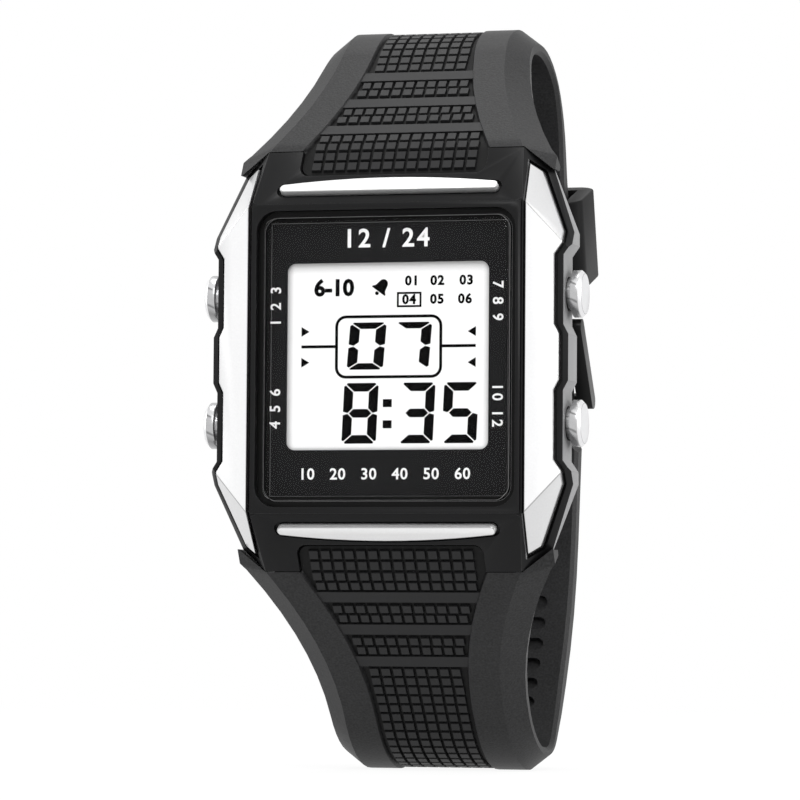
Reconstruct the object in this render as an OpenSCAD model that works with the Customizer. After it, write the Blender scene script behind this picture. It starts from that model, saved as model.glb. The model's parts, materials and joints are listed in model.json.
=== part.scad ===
// Digital watch with a moulded case, four push buttons and a closed resin strap.
// The dial faces -Y and 12 o'clock points to +Z. The origin is under the middle of the strap loop.

/* [Case] */
// Width of the side panel from the rim to the waist beside the buttons
side_w = 4.15; // [3.6:0.05:4.6]
// How far the middle bump stands out from the waist
bump_out = 0.5; // [0.2:0.05:0.8]
// How far the shoulders stand out from the waist
shoulder_out = 0.75; // [0.3:0.05:1]
// Height of the sloping end above the rim
end_h = 5.9; // [5.5:0.1:6.5]
// How much narrower than the rim the flat end is
end_in = 0.65; // [0.4:0.05:0.9]
// How far the slanted corner stands out from the rim
corner_w = 2.3; // [2:0.05:2.6]
// Height of the slanted corner above the rim
corner_h = 3.6; // [3.4:0.05:3.9]
// Whole thickness of the case
case_depth = 12; // [11.8:0.1:13]
// Depth of the cover's skirt
skirt_depth = 6; // [5.7:0.1:6.3]
// Wall of the cover
cover_wall = 1.25; // [1.1:0.05:1.4]
// Width of the flat rim beside the window
rim_w = 0.5; // [0.4:0.05:0.8]
// Width of the flat rim above and below the window
rim_h = 0.65; // [0.5:0.05:1]
// Depth of the sloping face where it meets the end of the case
slope_depth = 4; // [3.6:0.1:4.2]
// Angle of the side panels
side_angle = 16; // [12:1:18]
// Half width of the notch that takes the strap
notch_x = 10.05; // [9.6:0.05:10.5]
// Depth of the notch in the cover
notch_depth = 2.7; // [2.4:0.1:3]
// Corner radius of the notch
notch_r = 1; // [0.6:0.1:1.4]

/* [Window and display] */
// Width of the window
crystal_w = 26.4; // [26:0.1:26.6]
// Height of the window
crystal_h = 29.5; // [29:0.1:29.7]
// Thickness of the window
crystal_t = 1.7; // [1.5:0.05:1.8]
// Groove between the window and the rim
crystal_groove = 0.7; // [0.5:0.05:0.75]
// Bevel on the edge of the window
crystal_bevel = 0.5; // [0.2:0.05:0.6]
// Corner radius of the window
crystal_corner_r = 1.5; // [1:0.1:2]
// Width of the printed border beside the clear area
border_w = 2.2; // [2:0.1:3]
// Height of the printed border above the clear area
border_top = 4.7; // [4:0.1:5.2]
// Height of the printed border below the clear area
border_bottom = 5.1; // [4.4:0.1:5.6]

/* [Buttons] */
// Distance between the two buttons of a side
button_pitch = 13.4; // [13:0.1:13.8]
// Depth of the button axis behind the rim
button_depth = 4.6; // [4.5:0.05:4.7]
// Radius of a button cap
cap_r = 2.45; // [2.2:0.05:2.6]
// Length of a button cap
cap_len = 1.15; // [1:0.05:1.5]
// Gap under a button cap, a little more than its travel
cap_gap = 0.55; // [0.55:0.05:0.8]
// Radius of the button collar
collar_r = 1.7; // [1.6:0.05:1.75]
// Radius of the button stem
stem_r = 1; // [0.95:0.05:1.05]

/* [Strap] */
// Angle at which the upper strap leaves the case
upper_angle = 45; // [40:1:52]
// Angle at which the lower strap leaves the case
lower_angle = 48; // [42:1:54]
// How far the strap stands out beside the corner of the case
strap_step = 0.3; // [0.2:0.05:0.5]
// Half width of the strap at the top and bottom of the loop
strap_x = 11; // [10.8:0.1:11.4]
// Half width of the strap behind the wrist
tail_x = 10.5; // [10:0.1:10.7]
// Half width of the strap between the rails of the buckle
buckle_x = 9.4; // [9:0.1:9.6]
// Thickness of the strap at the case
strap_start_t = 3.8; // [3.5:0.1:4]
// Thickness of the strap at the top and bottom of the loop
strap_mid_t = 2.7; // [2.4:0.1:3]
// Thickness of the strap at the buckle
strap_end_t = 2.4; // [2.2:0.1:2.5]
// Half width of the sunk panel on the loop
panel_x = 5.25; // [5:0.05:6]
// Depth of the sunk panel
panel_sink = 0.5; // [0.3:0.05:0.7]
// Height of the loop above the middle of the case
loop_top = 37; // [36:0.5:38]
// Depth of the loop's highest point
loop_top_y = 23.5; // [22.5:0.5:24.5]
// Depth of the loop below the middle of the case
loop_bottom = 43; // [42:0.5:44]
// Depth of the loop's lowest point
loop_bottom_y = 29; // [28:0.5:30]
// Length of the keeper
keeper_len = 10; // [9:0.5:11]
// Wall of the keeper
keeper_wall = 1.9; // [1.5:0.1:2.1]

/* [Hidden] */
$fn = 48;

// General clearances
over = 1;
seat_gap = 0.05;
fit_gap = 0.1;
big = 80;

// The rim and the ends of the case
rim_x = crystal_w / 2 + crystal_groove + rim_w;
rim_z = crystal_h / 2 + crystal_groove + rim_h;
waist_x = rim_x + side_w;
end_z = rim_z + end_h;
end_x = rim_x - end_in;
corner_x = rim_x + corner_w;
corner_z = rim_z + corner_h;
view_w = crystal_w - 2 * border_w;
view_h = crystal_h - border_top - border_bottom;
view_z = (border_bottom - border_top) / 2;

// Places along the case outline, as heights above the middle
bump_z = 2.4;
waist_low_z = 3.4;
waist_high_z = 10.6;
shoulder_low_z = 11.7;
shoulder_high_z = 13;

// Depths of the pieces in the case
cover_plate_t = 1.2;
ledge_y = crystal_t + seat_gap;
mask_t = 0.2;
mask_y = ledge_y + seat_gap / 2;
mask_margin = 0.5;
front_wall_back = 3;
neck_back = 4.2;
back_t = 0.8;
body_back = case_depth - back_t;
neck_inset_x = 0.2;
neck_inset_z = 0.1;
neck_x = rim_x - neck_inset_x;
neck_z = rim_z - neck_inset_z;
neck_wall_x = 0.6;
neck_wall_z = 0.4;
cavity_x = neck_x - neck_wall_x;
cavity_z = neck_z - neck_wall_z;
lcd_border_x = 0.9;
lcd_border_z = 1.55;
lcd_x = view_w / 2 + lcd_border_x;
lcd_z = view_h / 2 + lcd_border_z;
lcd_window_x = lcd_x + fit_gap;
lcd_window_z = lcd_z + 1.2;
lcd_y = 2.1;
lcd_t = 1.2;
guide_t = 0.6;
guide_z = lcd_z - 1.8;
frame_front = lcd_y + lcd_t + seat_gap;
board_y = 6;
board_t = 0.8;
frame_inset_x = 0.7;
frame_inset_z = 0.2;
frame_x = cavity_x - frame_inset_x;
frame_z = cavity_z - frame_inset_z;
frame_wall_x = 0.5;
frame_wall_z = 0.8;
board_x = frame_x - frame_wall_x;
board_z = frame_z - frame_wall_z;

// The strap in the case
slope_rise = end_z - rim_z;
slope_lip = 0.4;
slope_angle = atan2(slope_rise, slope_depth - slope_lip);
lug_rise = 1.5;
lug_z = rim_z + lug_rise;
bar_inset = 2.5;
bar_z = end_z - bar_inset;
bar_y = 7.3;
spring_bar_r = 0.75;
spring_bar_pin_r = 0.4;
pin_gap = 0.05;
spring_bar_pin_len = 1.2;
boss_r = 1.6;

// The strap behind the wrist
rear_slant = 17;
rear_top_z = 25.5;
rear_top_y = 38.4;
hinge_z = 6.6;
layer_gap = 0.15;
tail_slant = 8;
tail_low_y = 46;
tail_low_z = -17.7;
tail_end_z = 22.4;

// Outline of the case, a quarter at a time
quarter = [[waist_x + bump_out, 0], [waist_x + bump_out, bump_z], [waist_x, waist_low_z],
    [waist_x, waist_high_z], [waist_x + shoulder_out, shoulder_low_z],
    [waist_x + shoulder_out, shoulder_high_z], [corner_x, corner_z], [end_x, end_z]];
function reversed(list) = [for (i = [len(list) - 1:-1:0]) list[i]];
function flipped_z(list) = [for (p = reversed(list)) [p.x, -p.y]];
function flipped_x(list) = [for (p = reversed(list)) [-p.x, p.y]];
right_half = concat(flipped_z(quarter), quarter);
case_outline = concat(right_half, flipped_x(right_half));

// A flat shape drawn in X and Z becomes a plate from one depth to another.
module plate(front, back) {
    translate([0, back, 0]) rotate([90, 0, 0]) linear_extrude(back - front) children();
}

// A flat shape drawn in Y and Z becomes a bar across the width.
module across(half_width) {
    translate([-half_width, 0, 0]) rotate([90, 0, 90]) linear_extrude(2 * half_width) children();
}

module rounded(w, h, r) {
    square([w - 2 * r, h], center = true);
    square([w, h - 2 * r], center = true);
    for (x = [-1, 1], z = [-1, 1]) translate([x * (w / 2 - r), z * (h / 2 - r)]) circle(r);
}

module rod(r, from_x, to_x) {
    translate([from_x, 0, 0]) rotate([0, 90, 0]) cylinder(r = r, h = to_x - from_x);
}

// Puts a piece of the upper half also at the lower half.
module both_ends() {
    children();
    mirror([0, 0, 1]) children();
}

module both_sides() {
    children();
    mirror([1, 0, 0]) children();
}

// Everything in front of a sloping plane through a point, to be cut away.
module in_front_of(point, normal) {
    translate(point)
        rotate([0, acos(normal.z / norm(normal)), atan2(normal.y, normal.x)])
            translate([-big / 2, -big / 2, 0]) cube(big);
}

// The case stands above the lowest point of the loop.
module placed() {
    translate([0, -loop_centre_y, loop_bottom + lift]) children();
}
loop_centre_y = 25.62;
lift = 0;

// Case

side_lip = 0.6;
corner_depth = 5.6;
corner_lip = 0.3;
corner_ridge = [rim_x, corner_lip, rim_z];
corner_normal = cross([corner_x, corner_depth, corner_z] - corner_ridge,
    [end_x, slope_depth, end_z] - corner_ridge);

// Cuts the side and corner planes of the cover, a step deeper or prouder.
module cut_side_planes(step) {
    both_sides() {
        in_front_of([rim_x, side_lip + step, 0], [sin(side_angle), -cos(side_angle), 0]);
        both_ends() in_front_of(corner_ridge + [0, step, 0], corner_normal);
    }
}

module cut_end_planes() {
    both_ends() in_front_of([0, slope_lip, rim_z], [0, -slope_rise, slope_depth - slope_lip]);
}

module outline(inset) {
    offset(delta = -inset) polygon(case_outline);
}

trim_edge = 0.45;
trim_inner_x = rim_x + trim_edge;
trim_border = 0.85;
trim_tip_step = 0.25;
trim_tip_w = 1.2;
trim_tip_inset = 1.8;
trim_tip_drop = 0.8;
trim_tip_x = rim_x + trim_tip_step;
trim_tip_z = end_z - trim_tip_inset;
trim_tip_outer_x = trim_tip_x + trim_tip_w;
trim_tip_outer_z = trim_tip_z - trim_tip_drop;
trim_proud = 0.5;
trim_sink = 0.6;
trim_quarter = [[waist_x + bump_out - trim_border, 0], [waist_x + bump_out - trim_border, bump_z],
    [waist_x - trim_border, waist_low_z], [waist_x - trim_border, waist_high_z],
    [waist_x + shoulder_out - trim_border, shoulder_low_z],
    [waist_x + shoulder_out - trim_border, shoulder_high_z],
    [trim_tip_outer_x, trim_tip_outer_z], [trim_tip_x, trim_tip_z], [trim_inner_x, rim_z]];

module trim_shape() {
    polygon(concat(flipped_z(trim_quarter), trim_quarter));
}

module side_trim() {
    difference() {
        plate(-over, skirt_depth) trim_shape();
        cut_side_planes(-trim_proud);
        difference() {
            plate(-2 * over, skirt_depth + over) offset(delta = over) trim_shape();
            cut_side_planes(trim_sink);
        }
    }
}

module trim_pocket() {
    intersection() {
        plate(-over, skirt_depth) offset(delta = fit_gap * 3) trim_shape();
        cut_side_planes(trim_sink);
    }
}

accent_inset = 2.7;
accent_half = rim_x - accent_inset;
accent_end_r = 0.5;
accent_rise = 0.7;
accent_lift = 1.6;
accent_z = rim_z + accent_lift;
accent_proud = 0.45;
accent_sink = 0.5;
accent_gap = 0.4;
accent_flat = accent_half - accent_end_r;
accent_arch_r = (accent_flat * accent_flat + accent_rise * accent_rise) / (2 * accent_rise);

// The arched bar drawn in the plane of the sloping face.
module accent_shape(grow) {
    square([2 * accent_flat, 2 * (accent_end_r + grow)], center = true);
    for (x = [-1, 1]) translate([x * accent_flat, 0]) circle(accent_end_r + grow);
    intersection() {
        translate([0, accent_end_r + grow + accent_rise - accent_arch_r])
            circle(accent_arch_r, $fn = 200);
        translate([-accent_flat, 0]) square([2 * accent_flat, accent_half]);
    }
}

// Lays a flat shape on the upper sloping face, from one height over it to another.
module on_slope(low, high) {
    translate([0, slope_lip + (accent_z - rim_z) / tan(slope_angle), accent_z])
        rotate([slope_angle, 0, 0])
            translate([0, 0, low]) linear_extrude(high - low) children();
}

module accent_bar() {
    on_slope(-accent_sink, accent_proud) accent_shape(0);
}

collar_hole_r = collar_r + fit_gap;
spring_seat_depth = 3.35;
spring_seat_x = waist_x - spring_seat_depth;
stem_bore_r = stem_r + pin_gap;

// The notch that takes the strap, open at the end of the case.
module notch_shape(inset) {
    translate([0, end_z + inset]) rounded(2 * (notch_x - inset), 2 * notch_depth, notch_r);
}

module at_buttons() {
    for (z = [-1, 1]) translate([0, button_depth, z * button_pitch / 2]) children();
}

module front_bezel() {
    color([0.1, 0.1, 0.11]) difference() {
        union() {
            difference() {
                plate(0, skirt_depth) polygon(case_outline);
                cut_side_planes(0);
                cut_end_planes();
            }
            plate(0, cover_plate_t) square([2 * rim_x, 2 * rim_z], center = true);
        }
        plate(-over, cover_plate_t + over)
            rounded(crystal_w + 2 * crystal_groove, crystal_h + 2 * crystal_groove,
                crystal_corner_r + crystal_groove);
        plate(cover_plate_t, neck_back + over)
            square([2 * (neck_x + seat_gap), 2 * (neck_z + seat_gap)], center = true);
        plate(neck_back, skirt_depth + over) outline(cover_wall);
        both_ends() plate(-over, skirt_depth + over) notch_shape(0);
        both_sides() trim_pocket();
        both_ends() on_slope(-accent_sink, over) accent_shape(accent_gap);
        at_buttons() rod(collar_hole_r, -waist_x - over, waist_x + over);
    }
}

screw_step = 2;
screw_drop = 2.4;
screw_x = cavity_x + screw_step;
screw_z = cavity_z - screw_drop;
screw_r = 0.6;
screw_head_r = 1.1;
screw_head_t = 0.4;
screw_len = 4.5;
gasket_w = 0.7;
gasket_inset = 0.25;
gasket_depth = 0.6;
gasket_gap = 0.05;

module at_screws() {
    for (x = [-1, 1], z = [-1, 1]) translate([x * screw_x, 0, z * screw_z])
        rotate([-90, 0, 0]) children();
}

module case_body() {
    color([0.13, 0.13, 0.14]) difference() {
        union() {
            plate(cover_plate_t, neck_back + over) square([2 * neck_x, 2 * neck_z], center = true);
            plate(neck_back, body_back) outline(cover_wall + seat_gap);
        }
        plate(0, ledge_y) rounded(crystal_w + 2 * seat_gap, crystal_h + 2 * seat_gap,
            crystal_corner_r + seat_gap);
        plate(0, ledge_y + mask_t + 2 * seat_gap)
            square([crystal_w - 2 * mask_margin, crystal_h - 2 * mask_margin], center = true);
        plate(0, front_wall_back + over) square([2 * lcd_window_x, 2 * lcd_window_z], center = true);
        plate(front_wall_back, body_back + over) square([2 * cavity_x, 2 * cavity_z], center = true);
        both_ends() plate(0, body_back + over)
            translate([-notch_x, lug_z]) square([2 * notch_x, end_z]);
        both_ends() translate([0, bar_y, bar_z])
            rod(spring_bar_pin_r + pin_gap, -notch_x - spring_bar_pin_len - fit_gap,
                notch_x + spring_bar_pin_len + fit_gap);
        at_buttons() rod(stem_bore_r, -waist_x, waist_x);
        at_buttons() both_sides() rod(collar_hole_r, spring_seat_x, waist_x);
        plate(body_back - gasket_depth, body_back + over) difference() {
            square([2 * (cavity_x + gasket_inset + gasket_w), 2 * (cavity_z + gasket_inset + gasket_w)],
                center = true);
            square([2 * (cavity_x + gasket_inset), 2 * (cavity_z + gasket_inset)], center = true);
        }
        translate([0, body_back - screw_len, 0]) at_screws()
            cylinder(r = screw_r, h = screw_len + over);
    }
}

module left_side_trim() {
    color([0.93, 0.93, 0.95]) mirror([1, 0, 0]) side_trim();
}

module right_side_trim() {
    color([0.93, 0.93, 0.95]) side_trim();
}

module top_accent_bar() {
    color([0.93, 0.93, 0.95]) accent_bar();
}

module bottom_accent_bar() {
    color([0.93, 0.93, 0.95]) mirror([0, 0, 1]) accent_bar();
}

// Depth and half width of a plate whose front edges are bevelled.
function bevelled(half) = [[seat_gap, half - crystal_bevel], [seat_gap + crystal_bevel, half],
    [ledge_y + over, half], [ledge_y + over, -half], [seat_gap + crystal_bevel, -half],
    [seat_gap, crystal_bevel - half]];

module crystal() {
    color([0.8, 0.85, 0.88, 0.4]) intersection() {
        plate(seat_gap, ledge_y) rounded(crystal_w, crystal_h, crystal_corner_r);
        across(crystal_w) polygon(bevelled(crystal_h / 2));
        translate([0, 0, -crystal_h]) linear_extrude(2 * crystal_h)
            polygon([for (p = bevelled(crystal_w / 2)) [p.y, p.x]]);
    }
}

// Display and movement

module dial_mask() {
    color([0.05, 0.05, 0.06]) plate(mask_y, mask_y + mask_t) difference() {
        square([crystal_w - 2 * mask_margin - fit_gap, crystal_h - 2 * mask_margin - fit_gap],
            center = true);
        translate([0, view_z]) square([view_w, view_h], center = true);
    }
}

module display_panel() {
    color([0.95, 0.96, 0.95]) plate(lcd_y, lcd_y + lcd_t)
        square([2 * lcd_x, 2 * lcd_z], center = true);
}

module light_guide() {
    color([0.9, 0.95, 0.9]) plate(frame_front, frame_front + guide_t)
        square([2 * lcd_x - over, 2 * guide_z], center = true);
}

zebra_w = 1.4;
zebra_inset_z = 0.9;
zebra_inset_x = 2.1;
zebra_z = lcd_z - zebra_inset_z;
zebra_x = lcd_x - zebra_inset_x;
frame_back = 8.6;
frame_opening_x = lcd_x - over / 2 + 2 * fit_gap;

module zebra_strip() {
    color([0.75, 0.45, 0.5]) plate(frame_front, board_y)
        translate([0, zebra_z]) square([2 * zebra_x, zebra_w], center = true);
}

module module_frame() {
    color([0.85, 0.85, 0.8]) difference() {
        plate(frame_front, frame_back) square([2 * frame_x, 2 * frame_z], center = true);
        plate(frame_front - over, board_y + over) {
            square([2 * frame_opening_x, 2 * (guide_z + fit_gap)], center = true);
            for (z = [-1, 1]) translate([0, z * (zebra_z - over / 2)])
                square([2 * (zebra_x + fit_gap), zebra_w + 2 * fit_gap + over], center = true);
        }
        plate(board_y, frame_back + over)
            square([2 * (board_x + fit_gap), 2 * (board_z + fit_gap)], center = true);
        plate(frame_front - over, frame_back + over) for (x = [-1, 1], z = [-1, 1]) {
            translate([x * frame_x, z * button_pitch / 2])
                square([2 * leaf_room, 2 * (clip_r + fit_gap)], center = true);
        }
        for (x = [-1, 1], z = [-1, 1]) translate([x * module_screw_x, screw_bite_y, z * module_screw_z])
            rotate([-90, 0, 0]) cylinder(r = module_screw_r + pin_gap, h = board_y - screw_bite_y + over);
    }
}

leaf_w = 2.6;
leaf_room = 1.25;
chip_w = 6;
chip_t = 1.1;
can_r = 1;
can_len = 6;
can_inset = 2.2;
can_z = can_inset - board_z;
cell_t = 1.6;
cell_gap_side = 2.4;
cell_gap_above = 3.8;
cell_gap_below = 2.2;
cell_low = can_z + can_r + cell_gap_below;
cell_r = min(board_x - cell_gap_side, (board_z - cell_gap_above - cell_low) / 2);
cell_z = cell_low + cell_r;
lamp_size = 1.4;
lamp_inset = 2.9;
lamp_x = board_x - lamp_inset;
module_screw_inset_x = 1.5;
module_screw_inset_z = 1.6;
module_screw_x = board_x - module_screw_inset_x;
module_screw_z = board_z - module_screw_inset_z;
module_screw_r = 0.4;
module_screw_head_r = 0.8;
module_screw_head_t = 0.3;
screw_bite_y = 4.4;
buzzer_contact_x = 6;
buzzer_contact_drop = 0.6;
buzzer_contact_z = cell_low - buzzer_contact_drop;
buzzer_z = -2;
buzzer_contact_r = 0.8;
steel_t = 0.2;
cell_front = board_y + board_t + seat_gap;
plate_front = cell_front + cell_t + seat_gap;
board_back = board_y + board_t;

module circuit_board() {
    color([0.1, 0.35, 0.2]) plate(board_y, board_back) difference() {
        square([2 * board_x, 2 * board_z], center = true);
        for (x = [-1, 1], z = [-1, 1]) {
            translate([x * module_screw_x, z * module_screw_z]) circle(module_screw_r + pin_gap);
            translate([x * board_x, z * button_pitch / 2])
                square([2 * (leaf_room - frame_x + board_x), leaf_w + 2 * fit_gap], center = true);
        }
    }
}

module display_chip() {
    color([0.08, 0.08, 0.08]) plate(board_y - chip_t, board_y)
        rounded(chip_w, chip_w, chip_w / 4);
}

module crystal_can() {
    color([0.8, 0.8, 0.82]) translate([-can_len / 2, board_back + can_r, can_z])
        rod(can_r, 0, can_len);
}

module lamp_diode() {
    color([0.95, 0.95, 0.85]) plate(board_y - lamp_size, board_y)
        translate([lamp_x, 0]) square([lamp_size, lamp_size], center = true);
}

module coin_cell() {
    color([0.8, 0.8, 0.82]) plate(cell_front, cell_front + cell_t)
        translate([0, cell_z]) circle(cell_r);
}

// The steel plate that holds the cell, with a leaf beside each button's stem.
module contact_plate() {
    color([0.75, 0.75, 0.72]) {
        plate(plate_front, plate_front + steel_t) difference() {
            square([2 * board_x, 2 * board_z], center = true);
            for (x = [-1, 1], z = [-1, 1]) translate([x * module_screw_x, z * module_screw_z])
                circle(module_screw_r + pin_gap);
            translate([buzzer_contact_x, buzzer_contact_z]) circle(buzzer_contact_r + fit_gap * 2);
            translate([0, can_z]) square([can_len + over, 2 * can_r + over], center = true);
        }
        both_sides() both_ends() plate(button_depth - leaf_w / 2, plate_front + steel_t)
            translate([board_x - steel_t, button_pitch / 2 - leaf_w / 2]) square([steel_t, leaf_w]);
    }
}

module module_screws() {
    color([0.7, 0.7, 0.7]) for (x = [-1, 1], z = [-1, 1])
        translate([x * module_screw_x, 0, z * module_screw_z]) rotate([-90, 0, 0]) {
            translate([0, 0, screw_bite_y + pin_gap])
                cylinder(r = module_screw_r, h = plate_front + steel_t - screw_bite_y - pin_gap);
            translate([0, 0, plate_front + steel_t])
                cylinder(r = module_screw_head_r, h = module_screw_head_t);
        }
}

buzzer_inset = 2.6;
buzzer_r = cavity_x - buzzer_inset;
buzzer_t = 0.3;

module buzzer_disc() {
    color([0.85, 0.7, 0.35]) plate(body_back - buzzer_t, body_back)
        translate([0, buzzer_z]) circle(buzzer_r);
}

// A coil of round wire from one height to another, as one tube.
coil_sides = 6;
coil_rings_a_turn = 12;
function coil_ring(centre_r, wire_r, pitch, angle) = [for (k = [0:coil_sides - 1])
    let (r = centre_r + wire_r * cos(360 * k / coil_sides))
        [r * cos(angle), r * sin(angle), pitch * angle / 360 + wire_r * sin(360 * k / coil_sides)]];

module coil(centre_r, wire_r, length, turns) {
    n = coil_sides;
    rings = round(turns * coil_rings_a_turn);
    pitch = (length - 2 * wire_r) / turns;
    points = [for (i = [0:rings]) each coil_ring(centre_r, wire_r, pitch, turns * 360 * i / rings)];
    translate([0, 0, wire_r]) polyhedron(points, concat(
        [[for (k = [0:n - 1]) k], [for (k = [n - 1:-1:0]) rings * n + k]],
        [for (i = [0:rings - 1], k = [0:n - 1]) [i * n + k, (i + 1) * n + k,
            (i + 1) * n + (k + 1) % n, i * n + (k + 1) % n]]));
}

wire_r = 0.15;
buzzer_coil_turns = 3;
button_coil_turns = 3;

module buzzer_spring() {
    color([0.8, 0.7, 0.4]) translate([buzzer_contact_x, board_back + seat_gap, buzzer_contact_z])
        rotate([-90, 0, 0]) coil(buzzer_contact_r - wire_r - pin_gap, wire_r,
            body_back - buzzer_t - board_back - 2 * seat_gap, buzzer_coil_turns);
}

back_margin_x = 1.4;
back_margin_z = 4.1;
back_x = screw_x + back_margin_x;
back_z = screw_z + back_margin_z;
back_corner = 4;

module case_back() {
    color([0.75, 0.75, 0.77]) difference() {
        plate(body_back, case_depth) polygon([
            [back_x, back_corner - back_z], [back_x, back_z - back_corner],
            [back_x - back_corner, back_z], [back_corner - back_x, back_z],
            [-back_x, back_z - back_corner], [-back_x, back_corner - back_z],
            [back_corner - back_x, -back_z], [back_x - back_corner, -back_z]]);
        translate([0, body_back - over, 0]) at_screws() cylinder(r = screw_r + pin_gap, h = 3 * over);
        translate([0, case_depth - screw_head_t - pin_gap, 0]) at_screws()
            cylinder(r = screw_head_r + pin_gap, h = over);
    }
}

module back_gasket() {
    color([0.1, 0.1, 0.1]) plate(body_back - gasket_depth, body_back) difference() {
        square([2 * (cavity_x + gasket_inset + gasket_w - gasket_gap),
            2 * (cavity_z + gasket_inset + gasket_w - gasket_gap)], center = true);
        square([2 * (cavity_x + gasket_inset + gasket_gap),
            2 * (cavity_z + gasket_inset + gasket_gap)], center = true);
    }
}

module back_screws() {
    color([0.7, 0.7, 0.72]) {
        translate([0, body_back - screw_len + pin_gap, 0]) at_screws()
            cylinder(r = screw_r - pin_gap, h = screw_len + back_t - screw_head_t - pin_gap);
        translate([0, case_depth - screw_head_t - pin_gap, 0]) at_screws() difference() {
            cylinder(r = screw_head_r, h = screw_head_t);
            translate([-screw_head_r, -screw_head_t / 2, screw_head_t / 2])
                cube([2 * screw_head_r, screw_head_t, over]);
        }
    }
}

// Buttons, drawn for the right side

cap_x = waist_x + cap_gap;
collar_len = 1.75;
collar_x = cap_x - collar_len;
clip_t = 0.3;
clip_x = cavity_x - seat_gap - clip_t;
stem_end_x = board_x + cap_gap;
seal_r = 0.25;
seal_step = 0.8;
seal_x = cavity_x + seal_step;
clip_groove = 0.25;
clip_flange = 0.5;
clip_r = stem_r + clip_flange;

module button_shape() {
    color([0.85, 0.85, 0.87]) difference() {
        union() {
            translate([cap_x, 0, 0]) rotate([0, 90, 0]) rotate_extrude()
                polygon([[0, 0], [cap_r, 0], [cap_r, cap_len - cap_edge], [cap_r - cap_edge, cap_len],
                    [0, cap_len]]);
            rod(collar_r, collar_x, cap_x);
            rod(stem_r, stem_end_x, collar_x);
        }
        translate([clip_x - pin_gap, 0, 0]) rotate([0, 90, 0]) difference() {
            cylinder(r = stem_r + over, h = clip_t + 2 * pin_gap);
            cylinder(r = stem_r - clip_groove, h = clip_t + 2 * pin_gap);
        }
        translate([seal_x, 0, 0]) rotate([0, 90, 0]) rotate_extrude()
            translate([stem_r, 0]) circle(seal_r);
    }
}
cap_edge = 0.35;

module seal_shape() {
    color([0.1, 0.1, 0.1]) translate([seal_x, 0, 0]) rotate([0, 90, 0]) rotate_extrude()
        intersection() {
            translate([stem_r, 0]) circle(seal_r - pin_gap / 2);
            translate([0, -over]) square([stem_bore_r - pin_gap / 2, 2 * over]);
        }
}

module clip_shape() {
    color([0.6, 0.6, 0.62]) translate([clip_x, 0, 0]) rotate([0, 90, 0])
        linear_extrude(clip_t) difference() {
            circle(clip_r);
            circle(stem_r - clip_groove + pin_gap / 2);
            translate([0, clip_groove - stem_r]) square([3 * stem_r, 2 * (stem_r - clip_groove)]);
        }
}

module spring_shape() {
    color([0.7, 0.7, 0.72]) translate([spring_seat_x + pin_gap, 0, 0]) rotate([0, 90, 0])
        coil((stem_r + collar_hole_r) / 2, wire_r, collar_x - spring_seat_x - 2 * pin_gap,
            button_coil_turns);
}

module at_button(side, end) {
    translate([0, button_depth, end * button_pitch / 2])
        mirror([side < 0 ? 1 : 0, 0, 0]) children();
}

// Strap: the outer surface runs along a trail in Y and Z, made of straights and arcs that
// meet without a kink. A station is depth, height, heading and distance; a leg is its length
// and zero, or its radius and the turn.

function ahead(at, leg, share) = leg[1] == 0
    ? [at[0] + leg[0] * share * cos(at[2]), at[1] + leg[0] * share * sin(at[2]), at[2],
        at[3] + leg[0] * share]
    : let (turn = leg[1] * share, step = leg[0] * turn_vector(at[2], turn))
        [at[0] + step.x, at[1] + step.y, at[2] + turn, at[3] + leg[0] * abs(turn) * PI / 180];

function turn_vector(heading, turn) = sign(turn)
    * [sin(heading + turn) - sin(heading), cos(heading) - cos(heading + turn)];

function stops(leg) = leg[1] == 0 ? ceil(leg[0] / straight_step) : ceil(abs(leg[1]) / arc_step);

function trail(at, legs, i = 0) = i == len(legs) ? [at] : concat(
    [for (k = [0:stops(legs[i]) - 1]) ahead(at, legs[i], k / stops(legs[i]))],
    trail(ahead(at, legs[i], 1), legs, i + 1));

function run_of(leg) = leg[1] == 0 ? leg[0] : leg[0] * abs(leg[1]) * PI / 180;

// The place and heading at a distance from the case
function station(at, legs, s, i = 0) = let (share = (s - at[3]) / run_of(legs[i]))
    share <= 1 || i == len(legs) - 1 ? ahead(at, legs[i], share)
    : station(ahead(at, legs[i], 1), legs, s, i + 1);

// How much of each of two directions adds up to a step.
function shares_of(a, b, step) = let (area = a.x * b.y - a.y * b.x)
    [(step.x * b.y - step.y * b.x) / area, (a.x * step.y - a.y * step.x) / area];

straight_step = 3;
arc_step = 7;
start_run = 3.4;
start_heading = slope_angle;
bend_r = 6;
crest_turn = 40;

// Upper half: up the slope, over the top and down the back
case_end = [slope_depth, end_z];
crest = [loop_top_y, loop_top];
rear_top = [rear_top_y, rear_top_z];
inwards = [sin(start_heading), -cos(start_heading)];
upper_bend = upper_angle - start_heading;
front_legs = shares_of([cos(upper_angle), sin(upper_angle)], turn_vector(upper_angle, -upper_angle),
    crest - case_end - bend_r * turn_vector(start_heading, upper_bend));
crest_legs = shares_of(turn_vector(0, -crest_turn),
    turn_vector(-crest_turn, crest_turn + rear_slant - 90), rear_top - crest);
hinge_run = (rear_top_z - hinge_z) / cos(rear_slant);
upper_start = [case_end.x - start_run * cos(start_heading),
    case_end.y - start_run * sin(start_heading), start_heading, -start_run];
upper_legs = [[start_run, 0], [bend_r, upper_bend], [front_legs[0], 0], [front_legs[1], -upper_angle],
    [crest_legs[0], -crest_turn], [crest_legs[1], crest_turn + rear_slant - 90], [hinge_run, 0]];
upper_trail = trail(upper_start, upper_legs);
tongue_top = panel_sink + 3 * fit_gap;
tongue_front = [upper_start[0], upper_start[1]] + tongue_top * inwards;

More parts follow.
